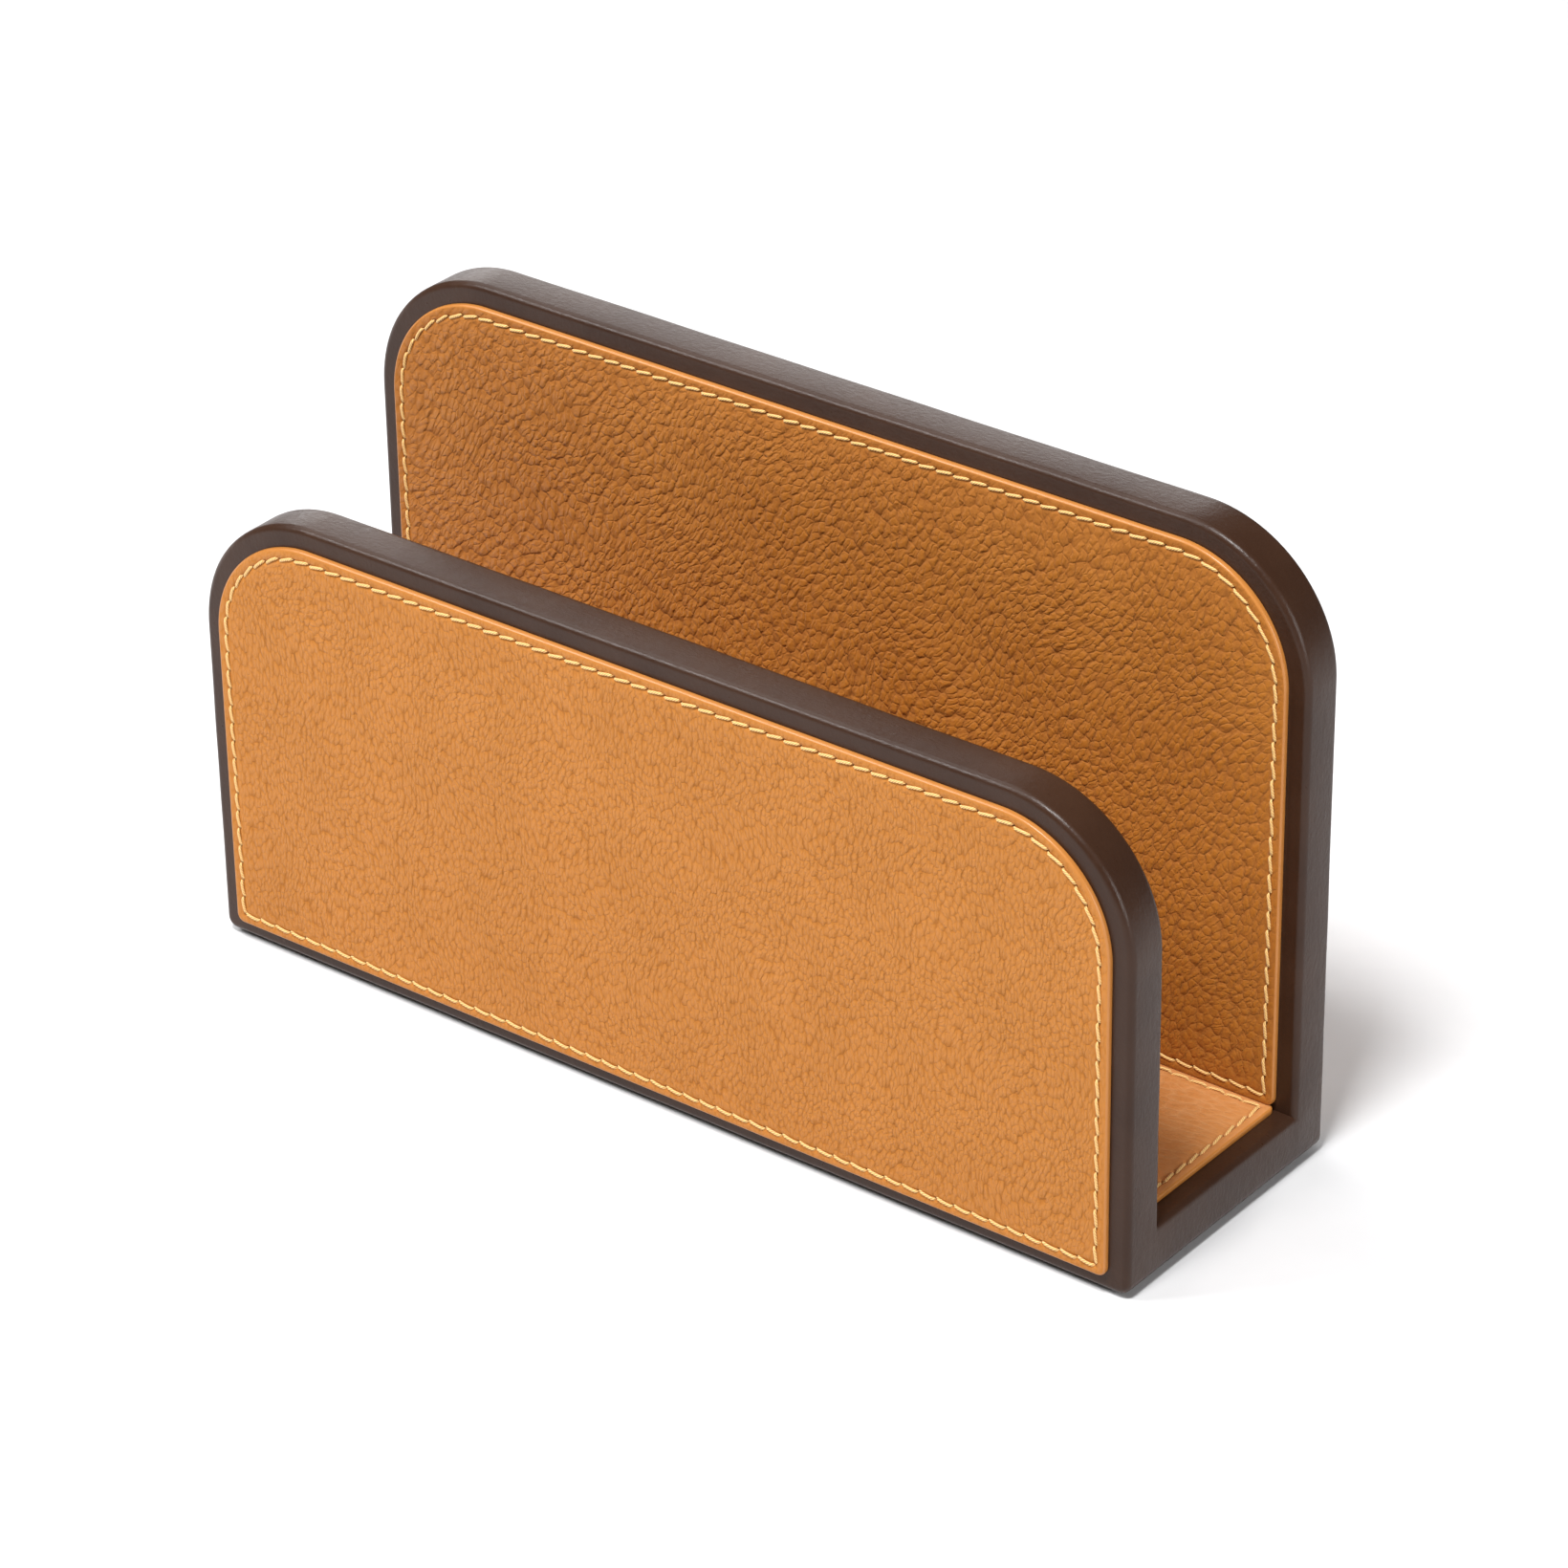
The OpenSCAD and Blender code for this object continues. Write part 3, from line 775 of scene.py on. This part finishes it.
def make_panel(name, w, h, radii, place, leather):
    """The stitched leather of one panel. `place` maps rows of panel points to the rack."""
    stations = seam_stations(w, h, radii)
    profile = EDGE_PROFILE + FACE_PROFILE
    count = len(stations)
    rings = [panel_points(w, h, radii, stations, inset, height) for inset, height in profile]
    grain = [grain_at(inset) for inset, _ in profile for _ in range(count)]
    hole_shades = [hole_shade_at(stations, inset) for inset, _ in profile]
    faces = ring_faces(0, count, len(profile))
    n_edge = count * (len(EDGE_PROFILE) - 1)
    holes = [k for k, s in enumerate(stations) if s.is_hole]
    coarse = [stations[k] for k in holes]
    # Low panels have fewer sparse rings, as the last one keeps clear of the middle line
    inner = [inset for inset in INNER_RINGS if inset * MM < h / 2 - MIDDLE_GAP]
    last, first = count * (len(profile) - 1), count * len(profile)
    # One face for each stitch joins the last full ring to the first sparse one
    for i, k in enumerate(holes):
        end = holes[(i + 1) % len(holes)] or count
        outer = [last + j % count for j in range(k, end + 1)]
        faces.append(tuple(outer + [first + (i + 1) % len(holes), first + i]))
    for inset in inner:
        rings.append(panel_points(w, h, radii, coarse, inset, FACE_PROFILE[-1][1]))
        grain += [1.0] * len(holes)
        hole_shades.append(np.zeros(len(holes)))
    faces += ring_faces(first, len(holes), len(inner))
    top = first + len(holes) * (len(inner) - 1)
    faces.append(tuple(range(top, top + len(holes))))
    faces.append(tuple(range(count - 1, -1, -1)))
    panel = mesh_object(name, place(np.concatenate(rings)), faces, [leather, EDGE_PAINT])
    # The second layer is the painted shade of the needle holes
    for layer, values in (("grain", grain), ("hole_shade", np.concatenate(hole_shades))):
        panel.data.attributes.new(layer, "FLOAT", "POINT").data.foreach_set("value", values)
    for face in panel.data.polygons[:n_edge]:
        face.material_index = 1
    panel.data.polygons[len(faces) - 1].material_index = 1
    tidy = bmesh.new()
    tidy.from_mesh(panel.data)
    bmesh.ops.remove_doubles(tidy, verts=tidy.verts, dist=0.0005 * MM)
    tidy.to_mesh(panel.data)
    tidy.free()
    return panel, stations


# %% [markdown]
# ## The stitches
# A saddle stitch is one short length of thread from hole to hole. It dives into both
# holes, leans a little across the seam, because the awl cuts slanted holes, and bows
# outwards under its own tension. The thread's section has three lobes, one for each
# ply, and the section turns as it goes along, which gives the rope look.

# %% Stitch mesh
# The thread's radius in mm, its plies, and how often they go round in one stitch
THREAD_R, PLIES, TURNS_PER_STITCH = 0.27, 3, 2.1
# Shares of the radius: the depth between plies, what the ends lose, and what is left of the height
PLY_DEPTH, END_TAPER, FLATTENED = 0.13, 0.35, 0.85
# In mm: lean and bow to the side, lift over the ends, and how much all three vary
LEAN, BOW, LIFT, UNEVEN = 0.26, 0.1, 0.62, 0.03
# How high the ends lie over the board in mm, and how far they keep from the holes as a share of the length
END_HEIGHT, END_GAP = 0.5, 0.02
# Points round the thread and along a stitch
AROUND, ALONG = 12, 22
random = np.random.default_rng(7)


def make_stitches(name, w, h, radii, stations, place):
    """All stitches of a seam as one mesh of closed, twisted tubes."""
    holes = [station for station in stations if station.is_hole]
    spots = ring_at(w, h, radii, SEAM_INSET, holes) / MM
    s = np.linspace(0, 1, ALONG)[:, None]
    phi = np.linspace(0, 2 * math.pi, AROUND, endpoint=False)[None, :]
    points, faces, plies = [], [], []
    for i, hole in enumerate(holes):
        start, end = spots[i], spots[(i + 1) % len(spots)]
        chord = end - start
        length = np.linalg.norm(chord)
        # No stitch joins the two holes that share a tight corner
        if length < 1:
            continue
        ahead = chord / length
        outward = np.array((ahead[1], -ahead[0]))
        # The first row, along the foot, leans the other way
        lean = (1 if hole.row == 0 else -1) * LEAN + random.normal(0, UNEVEN)
        bow = BOW + random.normal(0, UNEVEN)
        lift = LIFT + random.normal(0, UNEVEN)
        hump = 1 - (2 * s - 1) ** 6
        aside = lean * (2 * s - 1) + bow * (1 - (2 * s - 1) ** 2)
        middle_line = start + ahead * length * (END_GAP + (1 - 2 * END_GAP) * s) + outward * aside
        up = END_HEIGHT + lift * hump
        slope = np.gradient(np.hstack([middle_line, up]), axis=0)
        slope /= np.linalg.norm(slope, axis=1, keepdims=True)
        side = np.array((outward[0], outward[1], 0.0))
        top = np.cross(slope, side)
        top *= np.sign(top[ALONG // 2, 2])
        turn = phi - 2 * math.pi * TURNS_PER_STITCH * s + random.uniform(0, 6.28)
        ply = np.cos(PLIES * turn)
        thick = THREAD_R * (1 + PLY_DEPTH * ply) * (1 - END_TAPER * (2 * s - 1) ** 8)
        centre = np.hstack([middle_line, up])[:, None, :]
        across = (thick * np.cos(phi))[:, :, None] * side
        upward = FLATTENED * (thick * np.sin(phi))[:, :, None] * top[:, None, :]
        tube = centre + across + upward
        faces += closed_faces(len(points) * ALONG * AROUND, AROUND, ALONG)
        points.append(tube.reshape(-1, 3))
        plies.append(ply.ravel())
    seam = mesh_object(name, place(np.concatenate(points) * MM), faces, [LINEN])
    attribute = seam.data.attributes.new("ply", "FLOAT", "POINT")
    attribute.data.foreach_set("value", np.concatenate(plies))
    fix = bmesh.new()
    fix.from_mesh(seam.data)
    bmesh.ops.recalc_face_normals(fix, faces=fix.faces)
    fix.to_mesh(seam.data)
    fix.free()
    return seam, len(points)


# %% [markdown]
# ## The backings
# Under each leather lies a sheet of bonded leather that keeps the panel flat. It is a
# little smaller than the panel, so that the edge paint covers its edge too.

# %% Backings
# In mm: thickness, and the profile from the middle of the back round the edge to the front
BACKING_T = 0.4
BACKING_PROFILE = [(0.9, 0.02), (0.16, 0.02), (0.14, 0.06), (0.14, BACKING_T - 0.05), (0.2, BACKING_T - 0.01),
                   (0.9, BACKING_T - 0.01)]
# Points for each piece of the outline, most of them in the two broad corners
BACKING_STEPS = (8, 6, 6, 14, 8, 14, 6, 6)


def make_sheet(name, w, h, radii, steps, profile, place, material):
    """A closed sheet: a ring for each point of its profile, and a face over either side."""
    stations = plain_stations(steps)
    count = len(stations)
    rings = [np.column_stack([ring_at(w, h, radii, inset * MM, stations), np.full(count, up * MM)])
             for inset, up in profile]
    return mesh_object(name, place(np.concatenate(rings)), closed_faces(0, count, len(profile)), [material])


print("backing:", BACKING_T, "mm thick")

# %% [markdown]
# ## Sewing and placing the five panels
# A panel is drawn flat: along its length, up its height, and out from the board. Where
# it goes is read from the frame: the backing tells where the board's face is. The two
# broad outer faces are cut from the firm part of the hide, the inner ones from the
# soft part, with painted shade darkening their tan, and the floor from a smooth part.

# %% The five panels
FLAT_RADII = (FOOT_PANEL_R,) * 4
X, Y, Z = Vector((1, 0, 0)), Vector((0, 1, 0)), Vector((0, 0, 1))
PANELS = {
    "front_outer": (X, Z, -Y, UP_RADII, FIRM_CALF),
    "front_inner": (-X, Z, Y, UP_RADII, SOFT_SHADED_CALF),
    "back_inner": (X, Z, -Y, UP_RADII, SOFT_SHADED_CALF),
    "back_outer": (-X, Z, Y, UP_RADII, FIRM_CALF),
    "floor": (X, Y, Z, FLAT_RADII, FLOOR_CALF),
}


def placer(origin, along, up, out):
    """A function that turns rows of panel points into points of the rack."""
    axes = np.array([along, up, out])
    return lambda rows: np.array(origin) + rows @ axes


for name, (along, up, out, radii, leather) in PANELS.items():
    low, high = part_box(name + "_backing")
    size = high - low
    w, h = size.x, abs(size.dot(up))
    inward_face = low if sum(out) > 0 else high
    origin = Vector((0, 0, 0)) + up * low.dot(up) + out * inward_face.dot(out)
    place = placer(origin, along, up, out)
    panel, stations = make_panel(name + "_leather", w, h, radii, place, leather)
    seam, stitches = make_stitches(name + "_stitches", w, h, radii, stations, place)
    backing = make_sheet(name + "_stiffener", w, h, radii, BACKING_STEPS, BACKING_PROFILE, place, BONDED)
    for piece, node, slot in ((panel, "_panel", "panel_leather"), (seam, "_thread", "thread"),
                              (backing, "_backing", "panel_backing")):
        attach(piece, "root")
        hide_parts(name + node)
    print(name, "panel:", len(panel.data.vertices), "points,", stitches, "stitches")

# %% [markdown]
# ## The lining underneath
# A sheet of suede hides the turned-in leather and keeps the rack from scratching the
# desk. Its edge is cut, not painted, so it gets only a small rounding.

# %% Underside lining
low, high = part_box("underside_lining")
LINING_CORNER_R = 3 * MM
# Distance inside the edge and height above the desk in mm, from underneath round to the top
LINING_PROFILE = [(3.0, 0.0), (0.25, 0.0), (0.05, 0.12), (0.0, 0.35), (0.0, 0.6), (0.1, 0.76), (0.4, 0.8),
                  (3.0, 0.8)]
LINING_STEPS = (8,) * 8
lining = make_sheet("lining_suede", high.x - low.x, high.y - low.y, (LINING_CORNER_R,) * 4, LINING_STEPS,
                    LINING_PROFILE, placer((0, low.y, 0), X, Y, Z), SUEDE)
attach(lining, "root")
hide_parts("underside_lining")
print("lining:", len(lining.data.vertices), "points")
